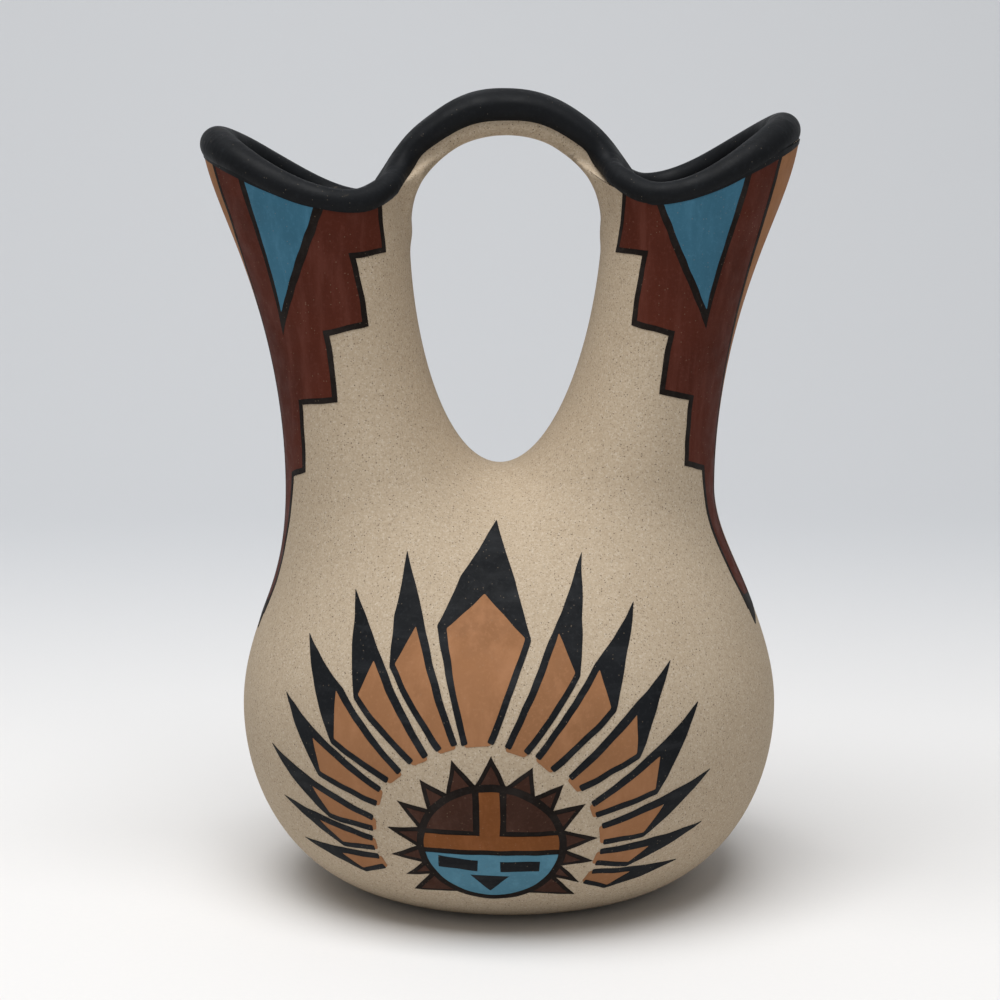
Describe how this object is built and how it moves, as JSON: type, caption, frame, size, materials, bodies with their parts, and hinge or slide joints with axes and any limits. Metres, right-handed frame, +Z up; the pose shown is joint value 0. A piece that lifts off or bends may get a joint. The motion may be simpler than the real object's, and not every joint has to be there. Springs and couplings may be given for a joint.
{
  "type": "wedding vase",
  "caption": "Hollow ceramic vase whose neck divides into two flared spouts joined by an arched handle, with coiled black rims.",
  "frame": {"origin": "middle of the flat foot, on the surface that the vase stands on", "axes": "+Z up, the front faces -Y, the two spouts lie along X"},
  "size_m": [0.1951, 0.178, 0.2632],
  "materials": {
    "bare_clay": "speckled tan clay, fired matte",
    "black_slip": "matte charcoal black slip",
    "red_brown_slip": "matte red-brown slip",
    "orange_slip": "matte orange-tan slip",
    "deep_orange_slip": "matte brown-orange slip",
    "dark_brown_slip": "matte dark brown slip",
    "turquoise_slip": "matte turquoise slip"
  },
  "bodies": {
    "root": {"foot_disc": "bare_clay", "lower_bowl": "bare_clay", "shoulder": "bare_clay", "yoke": "bare_clay", "left_spout": "bare_clay", "right_spout": "bare_clay", "left_rim_coil": "black_slip", "right_rim_coil": "black_slip", "handle_strap": "bare_clay", "handle_coil": "black_slip"}
  },
  "joints": []
}
